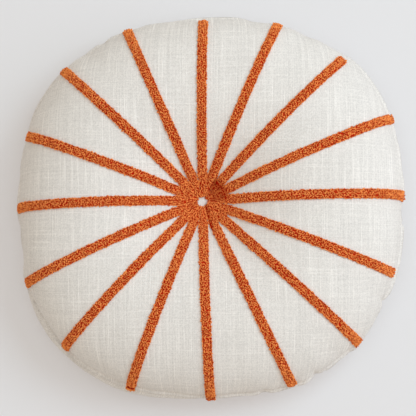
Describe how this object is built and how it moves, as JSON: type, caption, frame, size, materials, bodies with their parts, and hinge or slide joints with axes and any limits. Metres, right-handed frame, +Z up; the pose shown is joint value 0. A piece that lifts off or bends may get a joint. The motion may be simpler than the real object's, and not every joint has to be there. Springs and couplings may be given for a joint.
{
  "type": "pumpkin cushion",
  "caption": "Round tufted floor or sofa cushion in off-white slub cloth, drawn in off-centre, with raised orange loop-pile stripes fanning out to the seam.",
  "frame": {"origin": "on the surface that the cushion lies on, under the middle of its outline", "axes": "+Z up out of the striped face, +X to the right across the face, +Y to the face's top"},
  "size_m": [0.4456, 0.4386, 0.1158],
  "materials": {
    "cover_cloth": "matte slub weave",
    "stripe_yarn": "matte loop pile"
  },
  "bodies": {
    "root": {"cushion": "cover_cloth", "stripe_01": "stripe_yarn", "stripe_02": "stripe_yarn", "stripe_03": "stripe_yarn", "stripe_04": "stripe_yarn", "stripe_05": "stripe_yarn", "stripe_06": "stripe_yarn", "stripe_07": "stripe_yarn", "stripe_08": "stripe_yarn", "stripe_09": "stripe_yarn", "stripe_10": "stripe_yarn", "stripe_11": "stripe_yarn", "stripe_12": "stripe_yarn", "stripe_13": "stripe_yarn", "stripe_14": "stripe_yarn", "stripe_15": "stripe_yarn", "stripe_16": "stripe_yarn"}
  },
  "joints": []
}
